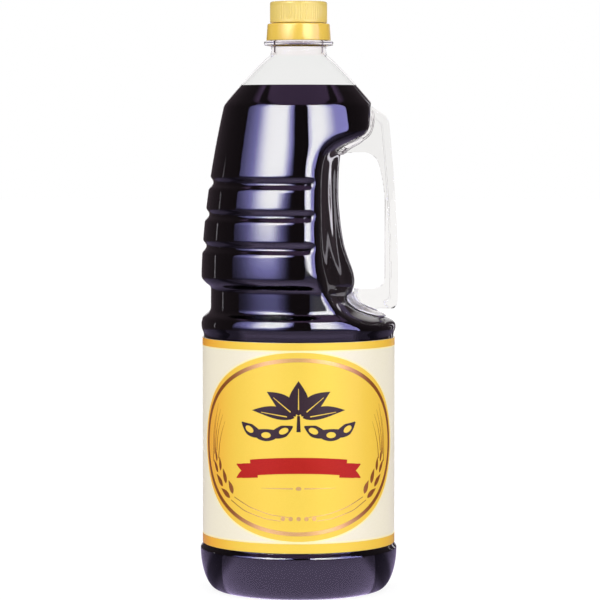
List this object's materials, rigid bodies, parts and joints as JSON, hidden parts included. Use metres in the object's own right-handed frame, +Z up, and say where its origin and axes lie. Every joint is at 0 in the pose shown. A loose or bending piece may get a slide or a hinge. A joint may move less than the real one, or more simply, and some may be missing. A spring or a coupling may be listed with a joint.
{
  "type": "soy sauce bottle",
  "caption": "Tall clear bottle of dark soy sauce with a moulded side handle, grooved upper body, wrapped paper label, pouring collar and ribbed cap.",
  "frame": {"origin": "on the plane the bottle stands on, under the middle of its round base", "axes": "+Z up to the cap, +X towards the handle, the label's middle faces -Y"},
  "size_m": [0.1057, 0.1052, 0.314],
  "materials": {
    "clear_body": "clear, smooth and shiny",
    "sauce": "very dark reddish brown liquid",
    "clear_handle": "clear, smooth moulded plastic",
    "label_paper": "coated paper, cream and yellow print with a bronze ring",
    "yellow_plastic": "satin pale yellow plastic"
  },
  "bodies": {
    "root": {"bottle": "clear_body", "soy_sauce": "sauce", "handle": "clear_handle", "label": "label_paper", "pour_collar": "yellow_plastic", "cap": "yellow_plastic"}
  },
  "joints": []
}
